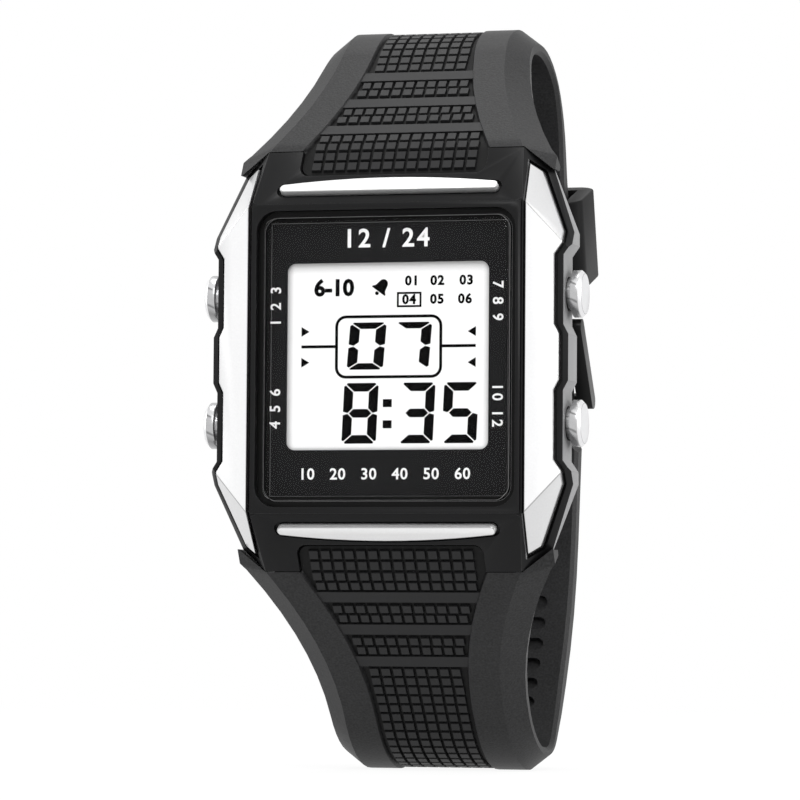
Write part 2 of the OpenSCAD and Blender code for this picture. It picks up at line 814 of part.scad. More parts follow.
// Lower half: down the slope, round the bottom, up the back and over the upper half
keel = [loop_bottom_y, -loop_bottom];
keel_turn = 45;
tail_layer = layer_gap + strap_end_t;
tail_low = [tail_low_y, tail_low_z];
tail_hinge = rear_top + hinge_run * [sin(rear_slant), -cos(rear_slant)]
    + tail_layer * [cos(rear_slant), sin(rear_slant)];
lower_bend = start_heading - lower_angle;
fall_legs = shares_of([cos(lower_angle), -sin(lower_angle)], turn_vector(-lower_angle, lower_angle),
    keel - [case_end.x, -case_end.y] - bend_r * turn_vector(-start_heading, lower_bend));
keel_legs = shares_of(turn_vector(0, keel_turn),
    turn_vector(keel_turn, 90 - tail_slant - keel_turn), tail_low - keel);
rise_legs = shares_of([cos(90 - tail_slant), sin(90 - tail_slant)],
    turn_vector(90 - tail_slant, tail_slant + rear_slant), tail_hinge - tail_low);
tail_run = (tail_end_z - tail_hinge.y) / cos(rear_slant);
lower_start = [upper_start[0], -upper_start[1], -start_heading, -start_run];
lower_legs = [[start_run, 0], [bend_r, lower_bend], [fall_legs[0], 0], [fall_legs[1], lower_angle],
    [keel_legs[0], keel_turn], [keel_legs[1], 90 - tail_slant - keel_turn], [rise_legs[0], 0],
    [rise_legs[1], tail_slant + rear_slant], [tail_run, 0]];
lower_trail = trail(lower_start, lower_legs);

// Sizes of the strap's section at a distance from the case
taper_len = 22;
panel_taper_len = 20;
strap_start_x = corner_x + strap_step;
panel_start_x = notch_x - seat_gap;
bevel_start = 3.25;
bevel_end = 2.1;
bevel_drop = 1.6;
edge_round = 0.4;
panel_step = 0.2;
crest_run = front_legs[0] + front_legs[1] * upper_angle * PI / 180;
narrow_start = 36;
narrow_len = 12;
panel_fade_start = 46;
panel_fade_len = 6;
panel_trace = 0.05;

function fade(s, from, len) = min(max((s - from) / len, 0), 1);
function half_width(s) = strap_x + (strap_start_x - strap_x) * pow(1 - fade(s, 0, taper_len), 2)
    - (strap_x - tail_x) * fade(s, narrow_start, narrow_len);
function panel_half(s) = panel_x
    + (panel_start_x - panel_x) * pow(1 - fade(s, 0, panel_taper_len), 2);
function bevel(s) = bevel_end + (bevel_start - bevel_end) * (1 - fade(s, 0, taper_len));
function thickness(s) = strap_start_t + (strap_mid_t - strap_start_t) * fade(s, 0, crest_run)
    + (strap_end_t - strap_mid_t) * fade(s, crest_run, narrow_len);
function sink(s) = panel_sink
    - (panel_sink - panel_trace) * fade(s, panel_fade_start, panel_fade_len);
function drop(s) = bevel_drop - (bevel_drop - edge_round) * fade(s, narrow_start, narrow_len);
function flat_bevel(s) = bevel(s) * (1 - fade(s, narrow_start, narrow_len))
    + edge_round * fade(s, narrow_start, narrow_len);

// Half of the section: sideways, and down from the outer surface.
function half_section(s) = [
    [panel_half(s), sink(s)],
    [panel_half(s) + panel_step, 0],
    [half_width(s) - flat_bevel(s), 0],
    [half_width(s), drop(s)],
    [half_width(s), thickness(s) - edge_round],
    [half_width(s) - edge_round, thickness(s)]];

function section(at, outward) = let (half = half_section(at[3]),
    whole = concat(half, [for (p = reversed(half)) [-p.x, p.y]]))
    [for (p = outward > 0 ? whole : reversed(whole))
        [p.x, at[0] + outward * p.y * sin(at[2]), at[1] - outward * p.y * cos(at[2])]];

// The flat end of the section: two rails, and the body below them.
end_faces = [[0, 1, 2, 3], [8, 9, 10, 11], [0, 3, 8, 11], [3, 4, 7, 8], [4, 5, 6, 7]];

// A solid skin over the sections.
module skin(rings) {
    n = len(rings[0]);
    last = len(rings) - 1;
    polyhedron([for (ring = rings) each ring], concat(
        end_faces,
        [for (face = end_faces) [for (k = reversed(face)) last * n + k]],
        [for (i = [0:last - 1], k = [0:n - 1]) let (next = (k + 1) % n)
            each [[i * n + k, (i + 1) * n + k, (i + 1) * n + next],
                [i * n + k, (i + 1) * n + next, i * n + next]]]));
}

// Work on the outer surface: local Y runs along the strap and local Z points outwards.
module on_strap(at, outward) {
    translate([0, at[0], at[1]]) rotate([at[2], 0, 0])
        mirror([0, 0, outward > 0 ? 0 : 1]) children();
}

// Smooth bands across the panel, between the fields of small blocks
band_first = 2.95;
band_pitch = 4.5;
band_len = 1.4;
band_sink = 0.15;
band_count = 3;

module bands(start, legs, outward) {
    for (k = [0:band_count - 1]) {
        s = band_first + k * band_pitch;
        near_x = panel_half(s) + panel_step;
        far_x = panel_half(s + band_len) + panel_step;
        on_strap(station(start, legs, s), outward) translate([0, 0, -2 * panel_sink])
            linear_extrude(2 * panel_sink - band_sink)
                polygon([[-near_x, 0], [near_x, 0], [far_x, band_len], [-far_x, band_len]]);
    }
}

// Long shallow recesses on the inner side, which let the wrist breathe
recess_first = 44.5;
recess_pitch = 2.7;
recess_count = 6;
recess_r = 0.75;
recess_half = 7.8;
recess_depth = 0.6;

module recesses(start, legs, outward) {
    for (k = [0:recess_count - 1]) {
        s = recess_first + k * recess_pitch;
        on_strap(station(start, legs, s), outward)
            translate([0, 0, -thickness(s) - over]) linear_extrude(over + recess_depth) {
                square([2 * (recess_half - recess_r), 2 * recess_r], center = true);
                for (side = [-1, 1]) translate([side * (recess_half - recess_r), 0]) circle(recess_r);
            }
    }
}

// Where the case is, in front of its neck and behind it, with the notches left open.
module case_room() {
    case_room_at(-case_depth, neck_back + fit_gap) notch_shape(fit_gap);
    case_room_at(neck_back, 2 * case_depth)
        translate([fit_gap - notch_x, lug_z + fit_gap]) square([2 * (notch_x - fit_gap), end_z]);
}

module case_room_at(front, back) {
    plate(front, back) difference() {
        union() {
            offset(delta = fit_gap) polygon(case_outline);
            translate([-big / 2, -corner_z]) square([big, 2 * corner_z]);
        }
        children();
        mirror([0, 1]) children();
    }
}

// The strap's end in the notch, round the spring bar.
module tongue() {
    across(notch_x - 2 * fit_gap) {
        polygon([tongue_front, case_end + tongue_top * inwards,
            case_end + (strap_start_t - fit_gap) * inwards, [bar_y + boss_r, bar_z],
            [bar_y - boss_r, bar_z]]);
        translate([bar_y, bar_z]) circle(boss_r);
    }
}

module spring_bar_bore() {
    translate([0, bar_y, bar_z]) rod(spring_bar_r + pin_gap, -notch_x - over, notch_x + over);
}

// Buckle and keeper, placed on the straight back of the upper half: local Z runs up the back
// and local Y points away from the wrist.
buckle_bar_r = 0.6;
eye_r = strap_end_t / 2;
tongue_w = 2.2;
tongue_slot_w = 2.6;
tongue_t = 1.1;
frame_len = 10;
rail_gap = 0.3;
rail_x = buckle_x + rail_gap;
rail_w = 1.7;
rail_t = 1.8;
far_bar_gap = 0.4;
shoulder_up = 2;
shoulder_down = 3;
tail_bow = frame_len * frame_len / 2 / rise_legs[1];
frame_out = eye_r + tail_layer + rail_t / 2 + far_bar_gap - tail_bow;
frame_angle = asin(frame_out / frame_len);
tongue_gap = 0.3;
tongue_angle = 45;
tongue_knee = 6.2;
hole_pitch = 6;
hole_w = 2.6;
hole_len = 4.6;
hole_first = -2.6;

module at_back(run) {
    translate([0, rear_top_y, rear_top_z]) rotate([rear_slant, 0, 0])
        translate([0, 0, -run]) children();
}

module at_hinge() {
    at_back(hinge_run) translate([0, -eye_r, 0]) children();
}

// The sides that the strap loses between two heights at the buckle, with a sloping shoulder
// at the lower one.
module side_room(low, high) {
    side = tail_x + over - buckle_x;
    at_hinge() rotate([90, 0, 0]) linear_extrude(2 * frame_len, center = true) both_sides()
        polygon([[buckle_x, low], [buckle_x + side, low - side], [buckle_x + side, high],
            [buckle_x, high]]);
}

module upper_strap() {
    color([0.12, 0.12, 0.125]) difference() {
        union() {
            skin([for (at = upper_trail) section(at, 1)]);
            bands(upper_start, upper_legs, 1);
            tongue();
            at_hinge() rod(eye_r - pin_gap, -rail_x, rail_x);
        }
        case_room();
        spring_bar_bore();
        side_room(-frame_len, shoulder_up);
        at_hinge() {
            rod(buckle_bar_r + pin_gap, -tail_x - over, tail_x + over);
            translate([-tongue_slot_w / 2, -strap_end_t, -strap_end_t])
                cube([tongue_slot_w, 2 * strap_end_t, 2 * strap_end_t]);
        }
    }
}

module lower_strap() {
    color([0.12, 0.12, 0.125]) difference() {
        union() {
            mirror([0, 0, 1]) tongue();
            skin([for (at = lower_trail) section(at, -1)]);
            bands(lower_start, lower_legs, -1);
        }
        recesses(lower_start, lower_legs, -1);
        side_room(-frame_len - shoulder_down, 2 * tail_end_z);
        case_room();
        mirror([0, 0, 1]) spring_bar_bore();
        at_hinge() for (k = [-1:2]) translate([-hole_w / 2, 0, hole_first - hole_len / 2 + k * hole_pitch])
            cube([hole_w, 3 * strap_end_t, hole_len]);
    }
}

module spring_bar_shape() {
    color([0.75, 0.75, 0.77]) translate([0, bar_y, bar_z]) {
        rod(spring_bar_r, fit_gap - notch_x, notch_x - fit_gap);
        rod(spring_bar_pin_r, -notch_x - spring_bar_pin_len, notch_x + spring_bar_pin_len);
    }
}

keeper_rest = 9.95;
keeper_gap = 0.25;
module keeper() {
    inner_x = tail_x + keeper_gap;
    low = -strap_end_t - keeper_gap;
    high = tail_layer + keeper_gap;
    color([0.12, 0.12, 0.125]) at_back(keeper_rest) translate([0, 0, -keeper_len / 2])
        linear_extrude(keeper_len) difference() {
            translate([0, (low + high) / 2])
                rounded(2 * (inner_x + keeper_wall), high - low + 2 * keeper_wall, keeper_wall);
            translate([-inner_x, low]) square([2 * inner_x, high - low]);
        }
}

module buckle_frame() {
    color([0.1, 0.1, 0.105]) at_hinge() rotate([frame_angle, 0, 0]) difference() {
        union() {
            for (side = [-1, 1]) translate([side * (rail_x + rail_w / 2), 0, 0]) {
                translate([-rail_w / 2, -rail_t / 2, -frame_len]) cube([rail_w, rail_t, frame_len]);
                rod(rail_t / 2, -rail_w / 2, rail_w / 2);
            }
            translate([0, 0, -frame_len]) rod(rail_t / 2, -rail_x - rail_w, rail_x + rail_w);
        }
        rod(buckle_bar_r + pin_gap, -rail_x - rail_w + over / 2, rail_x + rail_w - over / 2);
    }
}

module buckle_bar() {
    color([0.7, 0.7, 0.72]) at_hinge()
        rod(buckle_bar_r, -rail_x - rail_w + over / 2 + fit_gap,
            rail_x + rail_w - over / 2 - fit_gap);
}

module buckle_tongue() {
    color([0.1, 0.1, 0.105]) at_hinge() difference() {
        union() {
            rod(eye_r - pin_gap, -tongue_w / 2, tongue_w / 2);
            across(tongue_w / 2) polygon(tongue_side);
        }
        rod(buckle_bar_r + pin_gap, -tongue_w, tongue_w);
    }
}
bar_drop = frame_len * cos(frame_angle);
knee = tongue_knee * [sin(tongue_angle), -cos(tongue_angle)];
across_knee = tongue_t * [cos(tongue_angle), sin(tongue_angle)] / 2;
tip_out = frame_out + rail_t / 2 + tongue_gap;
tongue_bend = bar_drop - rail_t / 2;
tongue_tip = bar_drop + rail_t;
tongue_side = [across_knee, knee + across_knee, [tip_out + tongue_t, -tongue_bend],
    [tip_out + tongue_t / 2, -tongue_tip], [tip_out, -tongue_tip], [tip_out, -tongue_bend],
    knee - across_knee, -across_knee];

placed() case_body();
placed() front_bezel();
placed() left_side_trim();
placed() right_side_trim();
placed() top_accent_bar();
placed() bottom_accent_bar();
placed() crystal();
placed() dial_mask();
placed() display_panel();
placed() light_guide();
placed() zebra_strip();  // upper_zebra_strip
placed() mirror([0, 0, 1]) zebra_strip();  // lower_zebra_strip
placed() module_frame();
placed() circuit_board();
placed() display_chip();
placed() crystal_can();
placed() lamp_diode();
placed() contact_plate();
placed() coin_cell();
placed() module_screws();
placed() buzzer_spring();
placed() buzzer_disc();
placed() case_back();
placed() back_gasket();
placed() back_screws();
placed() at_button(-1, 1) button_shape();  // upper_left_button
placed() at_button(-1, 1) spring_shape();  // upper_left_spring
placed() at_button(-1, 1) seal_shape();  // upper_left_seal
placed() at_button(-1, 1) clip_shape();  // upper_left_clip
placed() at_button(-1, -1) button_shape();  // lower_left_button
placed() at_button(-1, -1) spring_shape();  // lower_left_spring
placed() at_button(-1, -1) seal_shape();  // lower_left_seal
placed() at_button(-1, -1) clip_shape();  // lower_left_clip
placed() at_button(1, 1) button_shape();  // upper_right_button
placed() at_button(1, 1) spring_shape();  // upper_right_spring
placed() at_button(1, 1) seal_shape();  // upper_right_seal
placed() at_button(1, 1) clip_shape();  // upper_right_clip
placed() at_button(1, -1) button_shape();  // lower_right_button
placed() at_button(1, -1) spring_shape();  // lower_right_spring
placed() at_button(1, -1) seal_shape();  // lower_right_seal
placed() at_button(1, -1) clip_shape();  // lower_right_clip
placed() spring_bar_shape();  // upper_spring_bar
placed() mirror([0, 0, 1]) spring_bar_shape();  // lower_spring_bar
placed() upper_strap();
placed() lower_strap();
placed() keeper();
placed() buckle_frame();
placed() buckle_tongue();
placed() buckle_bar();
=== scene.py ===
import json
import math

import bmesh
import bpy
from mathutils import Matrix, Vector

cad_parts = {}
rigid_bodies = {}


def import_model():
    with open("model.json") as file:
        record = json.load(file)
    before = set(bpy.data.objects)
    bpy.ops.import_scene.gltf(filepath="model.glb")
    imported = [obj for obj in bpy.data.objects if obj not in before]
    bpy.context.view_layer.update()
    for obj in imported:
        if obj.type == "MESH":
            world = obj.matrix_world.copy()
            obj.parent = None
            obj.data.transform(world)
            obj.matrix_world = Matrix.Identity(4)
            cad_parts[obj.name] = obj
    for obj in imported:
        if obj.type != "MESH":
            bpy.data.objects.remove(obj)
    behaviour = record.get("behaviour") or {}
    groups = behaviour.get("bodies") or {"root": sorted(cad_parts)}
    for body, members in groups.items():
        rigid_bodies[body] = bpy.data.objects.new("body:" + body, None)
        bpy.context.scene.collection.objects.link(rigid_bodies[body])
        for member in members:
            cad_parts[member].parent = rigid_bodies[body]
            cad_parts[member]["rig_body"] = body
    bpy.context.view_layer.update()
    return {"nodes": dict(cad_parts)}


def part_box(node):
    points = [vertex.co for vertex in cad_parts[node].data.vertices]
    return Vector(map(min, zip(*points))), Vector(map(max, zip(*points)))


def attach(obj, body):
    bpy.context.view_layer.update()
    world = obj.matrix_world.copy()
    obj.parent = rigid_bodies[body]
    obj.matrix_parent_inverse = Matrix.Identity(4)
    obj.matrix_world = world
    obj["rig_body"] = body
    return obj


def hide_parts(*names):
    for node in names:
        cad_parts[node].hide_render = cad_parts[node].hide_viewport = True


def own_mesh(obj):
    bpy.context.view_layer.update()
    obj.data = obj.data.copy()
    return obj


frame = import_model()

MM = 0.001

# Places on the watch
# The front plane is the rim of the cover, and the middle is the middle of the case.
# A place is given in mm from there: towards 3 o'clock, back into the case, towards 12.
cover_low, cover_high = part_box("front_bezel")
rim_y = cover_low.y
middle_z = (cover_low.z + cover_high.z) / 2


def place(x, back, up):
    return Vector((x * MM, rim_y + back * MM, middle_z + up * MM))


# Camera
# It stands to the right of the watch and a little below its middle, on a long lens. The
# distance is in mm, and the middle of the picture lies off the middle of the watch.
scene = bpy.context.scene
scene.view_settings.view_transform = "Standard"
distance = 458
turned = math.radians(15.1)
below = math.radians(-3.88)
rolled = math.radians(0.43)
focal_px = 4432
picture_px = 800
off_middle_px = (15.9, 42.4)

away = Vector((math.sin(turned) * math.cos(below), -math.cos(turned) * math.cos(below), math.sin(below)))
right = Vector((math.cos(turned), math.sin(turned), 0))
up = away.cross(right)
roll = Matrix.Rotation(rolled, 3, away)
right, up = roll @ right, roll @ up
looking = (right * off_middle_px[0] - up * off_middle_px[1] - away * focal_px).normalized()
right = looking.cross(up).normalized()
up = right.cross(looking)

camera = bpy.data.objects.new("camera", bpy.data.cameras.new("camera"))
camera.data.sensor_width = 36
camera.data.lens = focal_px / picture_px * camera.data.sensor_width
camera.data.clip_start = 0.01
camera.data.clip_end = 20
turn = Matrix((right, up, -looking)).transposed().to_4x4()
camera.matrix_world = Matrix.Translation(place(0, 0, 0) + away * distance * MM) @ turn
scene.collection.objects.link(camera)
scene.camera = camera


# Table, room and lamps
# The watch stands on a sheet of white paper in a white room. Large soft lamps light it
# from the front, from both sides and from above.
class Flow:
    """A socket in a tree of nodes. A sum on it adds a Math node, and node() adds any other."""

    def __init__(self, tree, socket=None):
        self.tree = tree
        self.socket = socket

    def node(self, kind, settings, inputs, output=0):
        made = self.tree.nodes.new(kind)
        for name, setting in settings.items():
            setattr(made, name, setting)
        for name, value in inputs.items():
            if isinstance(value, Flow):
                self.tree.links.new(value.socket, made.inputs[name])
            else:
                made.inputs[name].default_value = value
        return Flow(self.tree, made.outputs[output] if made.outputs else None)

    def output(self, name):
        return Flow(self.tree, self.socket.node.outputs[name])

    def sum(self, operation, first, second=0.0):
        return self.node("ShaderNodeMath", {"operation": operation}, {0: first, 1: second})

    def __add__(self, other):
        return self.sum("ADD", self, other)

    def __radd__(self, other):
        return self.sum("ADD", other, self)

    def __sub__(self, other):
        return self.sum("SUBTRACT", self, other)

    def __rsub__(self, other):
        return self.sum("SUBTRACT", other, self)

    def __mul__(self, other):
        return self.sum("MULTIPLY", self, other)

    def __rmul__(self, other):
        return self.sum("MULTIPLY", other, self)

    def __truediv__(self, other):
        return self.sum("DIVIDE", self, other)


white = (1, 1, 1, 1)
paper_pale = (0.88, 0.88, 0.88, 1)
paper_half = 1.6
paper_glow = 0.9
full_glow = 1.0
glow_from, glow_to = 0.1, 0.6
fibre_scale = 60.0
room_light = 0.75


def white_to_the_eye(flow):
    """One for a ray that sees the paper or the room, straight or in metal and glass."""
    return (flow.node("ShaderNodeLightPath", {}, {}, "Is Camera Ray")
            + flow.node("ShaderNodeLightPath", {}, {}, "Is Glossy Ray")
            + flow.node("ShaderNodeLightPath", {}, {}, "Is Transmission Ray"))


paper = bpy.data.materials.new("white_paper")
paper.use_nodes = True
paper.node_tree.nodes.clear()
flow = Flow(paper.node_tree)
fibres = flow.node("ShaderNodeTexNoise", {}, {"Scale": fibre_scale, "Detail": 4.0})
tone = flow.node("ShaderNodeMix", {"data_type": "RGBA"}, {0: fibres, 6: paper_pale, 7: white}, 2)
matt = flow.node("ShaderNodeBsdfDiffuse", {}, {"Color": tone})
lit = flow.node("ShaderNodeEmission", {}, {"Color": white, "Strength": 1.0})
spot = flow.node("ShaderNodeTexCoord", {}, {}, "Object")
far = flow.node("ShaderNodeVectorMath", {"operation": "LENGTH"}, {0: spot}, "Value")
glow = flow.node("ShaderNodeMapRange", {"interpolation_type": "SMOOTHSTEP"},
                 {0: far, 1: glow_from, 2: glow_to, 3: paper_glow, 4: full_glow})
seen = white_to_the_eye(flow) * glow
both = flow.node("ShaderNodeMixShader", {}, {0: seen, 1: matt, 2: lit})
flow.node("ShaderNodeOutputMaterial", {}, {"Surface": both})

sheet = bpy.data.meshes.new("floor")
sheet.from_pydata([(-paper_half, -paper_half, 0), (paper_half, -paper_half, 0),
                   (paper_half, paper_half, 0), (-paper_half, paper_half, 0)], [], [(0, 1, 2, 3)])
sheet.materials.append(paper)
floor = bpy.data.objects.new("floor", sheet)
scene.collection.objects.link(floor)

room = bpy.data.worlds.new("room")
scene.world = room
room.use_nodes = True
room.node_tree.nodes.clear()
flow = Flow(room.node_tree)
ambient = flow.node("ShaderNodeBackground", {}, {"Color": white, "Strength": room_light})
bright = flow.node("ShaderNodeBackground", {}, {"Color": white, "Strength": 1.0})
walls = flow.node("ShaderNodeMixShader", {}, {0: white_to_the_eye(flow), 1: ambient, 2: bright})
flow.node("ShaderNodeOutputWorld", {}, {"Surface": walls})


lamp_target = place(0, 10, 0)


def lamp(name, where, watts, size):
    """A large soft lamp that shines on the watch."""
    light = bpy.data.lights.new(name, "AREA")
    light.energy = watts
    light.shape = "RECTANGLE"
    light.size, light.size_y = size
    made = bpy.data.objects.new(name, light)
    scene.collection.objects.link(made)
    made.location = where
    made.rotation_mode = "QUATERNION"
    made.rotation_quaternion = (lamp_target - Vector(where)).to_track_quat("-Z", "Y")


lamp("front_lamp", where=(0.3, -0.8, 0.75), watts=5.0, size=(0.45, 0.45))
lamp("right_lamp", where=(0.75, -0.05, 0.2), watts=3.0, size=(0.35, 0.6))
lamp("left_lamp", where=(-0.65, 0.0, 0.3), watts=2.2, size=(0.3, 0.6))
lamp("top_lamp", where=(0.0, 0.15, 0.85), watts=2.5, size=(0.5, 0.4))


# Movement
# The parts in the case: a steel plate, a coin cell, a board with its chip and its quartz,
# rubber strips that carry the display's contacts, a light plate and a sounding disc.
def finish(name, colour, roughness, metallic=0.0, grain=0.25, depth=0.004, shade=0.12, specular=0.5,
           coat=0.0):
    """A finish whose tone and gloss vary, with a skin of the given grain and depth in mm."""
    broad_scale = 150.0
    fine_contrast = 2.5
    broad_share = 0.4
    gloss_range = 0.1
    material = bpy.data.materials.new(name)
    material.use_nodes = True
    tree = material.node_tree
    skin = tree.nodes["Principled BSDF"]
    skin.inputs["Metallic"].default_value = metallic
    skin.inputs["Specular IOR Level"].default_value = specular
    skin.inputs["Coat Weight"].default_value = coat
    flow = Flow(tree)
    spot = flow.node("ShaderNodeTexCoord", {}, {}, "Object")
    fine = flow.node("ShaderNodeTexNoise", {}, {"Vector": spot, "Scale": 1 / (grain * MM), "Detail": 3.0})
    broad = flow.node("ShaderNodeTexNoise", {}, {"Vector": spot, "Scale": broad_scale, "Detail": 5.0})
    dark = [c * (1 - shade) for c in colour] + [1]
    pale = [min(c * (1 + shade), 1) for c in colour] + [1]
    speckle = (fine - 0.5) * fine_contrast + 0.5
    mixed = broad * broad_share + speckle * (1 - broad_share)
    tone = flow.node("ShaderNodeMix", {"data_type": "RGBA"}, {0: mixed, 6: dark, 7: pale}, 2)
    gloss = roughness - gloss_range / 2 + gloss_range * broad
    bump = flow.node("ShaderNodeBump", {}, {"Strength": 1.0, "Distance": depth * MM, "Height": fine})
    tree.links.new(tone.socket, skin.inputs["Base Color"])
    tree.links.new(gloss.socket, skin.inputs["Roughness"])
    tree.links.new(bump.socket, skin.inputs["Normal"])
    return material


def clad(material, slot, *nodes):
    """Gives CAD nodes, whose shapes are right, their finish."""
    for node in nodes:
        mesh = frame["nodes"][node].data
        mesh.materials.clear()
        mesh.materials.append(material)


steel = finish("steel", (0.55, 0.55, 0.56), 0.28, metallic=1.0, grain=0.4, depth=0.001)
clad(steel, "steel", "contact_plate", "coin_cell", "crystal_can", "module_screws")
brass = finish("brass", (0.6, 0.42, 0.16), 0.3, metallic=1.0, grain=0.3, depth=0.001)
clad(brass, "brass", "buzzer_disc", "buzzer_spring")
board_green = finish("board_green", (0.02, 0.12, 0.05), 0.35, grain=0.5, depth=0.004, coat=0.3)
clad(board_green, "board_green", "circuit_board")
chip_black = finish("chip_black", (0.01, 0.01, 0.01), 0.5, grain=0.1)
clad(chip_black, "chip_black", "display_chip")
ivory = finish("ivory_plastic", (0.62, 0.6, 0.5), 0.5, grain=0.3)
clad(ivory, "ivory_plastic", "module_frame")
pink = finish("pink_rubber", (0.5, 0.2, 0.24), 0.7, grain=0.15, depth=0.01)
clad(pink, "pink_rubber", "upper_zebra_strip", "lower_zebra_strip")
milky = finish("light_plate", (0.75, 0.8, 0.76), 0.3, grain=0.5)
clad(milky, "light_plate", "light_guide", "lamp_diode")


# Case
# The body is black resin, and its outward side walls are a lighter grey: painted light, standing for the
# sheen that side light puts on them. The cover is a deep black with a fine satin skin. A steel back closes
# it on a rubber ring with four screws.
def rounded_copy(node, material, width, angle=25, edge_material=None):
    """A merged copy that stands for a CAD node, with its sharp outer edges rounded.

    The width is in mm, edges that bend over the angle are rounded, and the rounding can have
    a material of its own.
    """
    same_place = 0.002 * MM
    flat = math.radians(0.5)
    source = frame["nodes"][node]
    shape = bmesh.new()
    shape.from_mesh(source.data)
    bmesh.ops.remove_doubles(shape, verts=shape.verts, dist=same_place)
    bmesh.ops.dissolve_limit(shape, angle_limit=flat, verts=shape.verts, edges=shape.edges)
    rounding = shape.edges.layers.float.new("bevel_weight_edge")
    for edge in shape.edges:
        bend = math.degrees(edge.calc_face_angle_signed(0))
        edge[rounding] = float(bend > angle)
        edge.smooth = bend > -angle
    mesh = bpy.data.meshes.new(node + "_shape")
    shape.to_mesh(mesh)
    shape.free()
    mesh.materials.clear()
    mesh.materials.append(material)
    mesh.materials.append(edge_material or material)
    mesh.polygons.foreach_set("use_smooth", [True] * len(mesh.polygons))
    piece = bpy.data.objects.new(node + "_dressed", mesh)
    scene.collection.objects.link(piece)
    bevel = piece.modifiers.new("edges", "BEVEL")
    bevel.width = width * MM
    bevel.segments = 2
    bevel.limit_method = "WEIGHT"
    bevel.material = 1
    bevel.harden_normals = True
    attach(piece, source["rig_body"])
    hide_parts(node)
    return piece


# The grey is painted light: a sheen on the side walls, put into the colour of black resin.
painted_side_sheen = finish("case_resin", (0.2, 0.2, 0.203), 0.45, grain=0.15, depth=0.003, specular=0.3)
case = rounded_copy("case_body", painted_side_sheen, 0.1)
ledge_black = finish("ledge_black", (0.004, 0.004, 0.004), 0.5, grain=0.15, depth=0.003, specular=0.1)
case.data.materials.append(ledge_black)
inner_share = 0.75
inner_x = inner_share * cover_high.x
inner_z = inner_share * (cover_high.z - cover_low.z) / 2
side_slope = 0.5
# Only the outward side walls keep the painted grey sheen; the rest of the body is black.
for face in case.data.polygons:
    inner = abs(face.center.x) < inner_x and abs(face.center.z - middle_z) < inner_z
    if inner or abs(face.normal.x) < side_slope:
        face.material_index = 2
cover_resin = finish("cover_resin", (0.005, 0.005, 0.0053), 0.36, grain=0.12, depth=0.002, specular=0.16)
# The cover's rounded edges are a lighter black: a painted highlight along them.
cover_edge_painted_highlight = finish("cover_edge_painted_highlight", (0.035, 0.035, 0.036), 0.36, grain=0.12, depth=0.002, specular=0.3)
cover = rounded_copy("front_bezel", cover_resin, 0.07, edge_material=cover_edge_painted_highlight)

# The cover's deep outer sides get the same painted grey sheen as the body's side walls.
cover.data.materials.append(painted_side_sheen)
deep_side = 2.5 * MM
front_slope = 0.3
for face in cover.data.polygons:
    depths = [cover.data.vertices[v].co.y for v in face.vertices]
    deep = max(depths) - min(depths) > deep_side
    outward = math.copysign(face.normal.x, face.normal.x * face.center.x)
    if deep and abs(face.normal.y) < front_slope and outward > side_slope:
        face.material_index = 2
rubber = finish("black_rubber", (0.012, 0.012, 0.012), 0.6, grain=0.12, depth=0.006, specular=0.25)
clad(rubber, "black_rubber", "back_gasket")
back_steel = finish("steel_back", (0.5, 0.5, 0.52), 0.32, metallic=1.0, grain=0.2, depth=0.002)
clad(back_steel, "steel_back", "case_back", "back_screws")

# Display
# A pane of glass over a white reflector, held by the plastic frame behind the border. Its
# figures are dark bars when they are on.
pane_white = finish("display", (0.93, 0.93, 0.93), 0.5, grain=0.6, depth=0.0005, shade=0.01)
clad(pane_white, "display", "display_panel")

# The border stands a little over the pane. Its shade on the pane's edges is painted softly into the pane's
# colour, darkest along the top.
skin = pane_white.node_tree.nodes["Principled BSDF"]
flow = Flow(pane_white.node_tree)
spot = flow.node("ShaderNodeTexCoord", {}, {}, "Object")
across = flow.node("ShaderNodeSeparateXYZ", {}, {0: spot}, "X")
opening_left, opening_right, opening_low, opening_high = -11.0, 10.66, -9.45, 10.05
from_left = across - opening_left * MM
from_right = opening_right * MM - across
from_top = place(0, 0, opening_high).z - across.output("Z")
from_low = across.output("Z") - place(0, 0, opening_low).z
painted_edge_shade = 1.0
for distance_in, run, darkest in ((from_top, 1.3, 0.55), (from_left, 0.8, 0.65), (from_right, 0.8, 0.65),
                                  (from_low, 0.5, 0.75)):
    painted_edge_shade = painted_edge_shade * flow.node("ShaderNodeMapRange", {"interpolation_type": "SMOOTHSTEP"},
                                    {0: distance_in, 1: 0.0, 2: run * MM, 3: darkest, 4: 1.0})
old = Flow(pane_white.node_tree, skin.inputs["Base Color"].links[0].from_socket)
with_painted_shade = flow.node("ShaderNodeVectorMath", {"operation": "SCALE"}, {0: old, 3: painted_edge_shade})
pane_white.node_tree.links.new(with_painted_shade.socket, skin.inputs["Base Color"])
ink = finish("display_ink", (0.001, 0.001, 0.001), 0.6, grain=0.3, depth=0.0005, specular=0.02)
display_y = (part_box("display_panel")[0].y - rim_y) / MM
ink_t = 0.03

# Which of a figure's seven bars are on: top, upper left, upper right, middle, lower left,
# lower right, bottom.
figure_bars = {"0": "1110111", "3": "1011011", "5": "1101011", "7": "1010010", "8": "1111111"}


